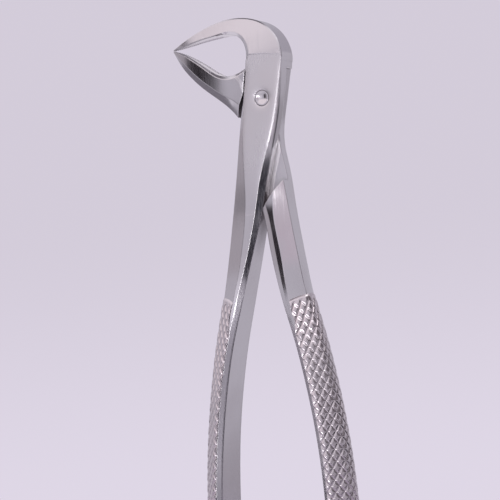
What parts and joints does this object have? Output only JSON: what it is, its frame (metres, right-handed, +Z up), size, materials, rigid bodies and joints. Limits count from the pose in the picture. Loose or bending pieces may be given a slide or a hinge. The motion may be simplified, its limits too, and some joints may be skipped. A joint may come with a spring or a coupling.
{
  "type": "extraction forceps",
  "caption": "Hand forceps with a lap joint, curved side-facing beaks with gripping edges, and bowed knurled handles.",
  "frame": {"origin": "on the pivot axis, in the joint's flat back face", "axes": "+Z up along the handles' mid-line towards the beaks, +X to the right with the beaks pointing to -X, +Y away from the front face, along the pivot axis"},
  "size_m": [0.0498, 0.0132, 0.1702],
  "materials": {
    "polished_steel": "polished stainless steel, satin on the joint face and knurled on the handles",
    "rivet_steel": "bright polished"
  },
  "bodies": {
    "front_body": {"front_half": "polished_steel"},
    "rear_body": {"rear_half": "polished_steel", "joint_rivet": "rivet_steel"}
  },
  "joints": [
    {"name": "pivot", "type": "hinge", "parent": "front_body", "child": "rear_body", "pos_m": [0, -0.0037, 0], "axis": [0, -1, 0], "range_deg": [0, 15]}
  ]
}
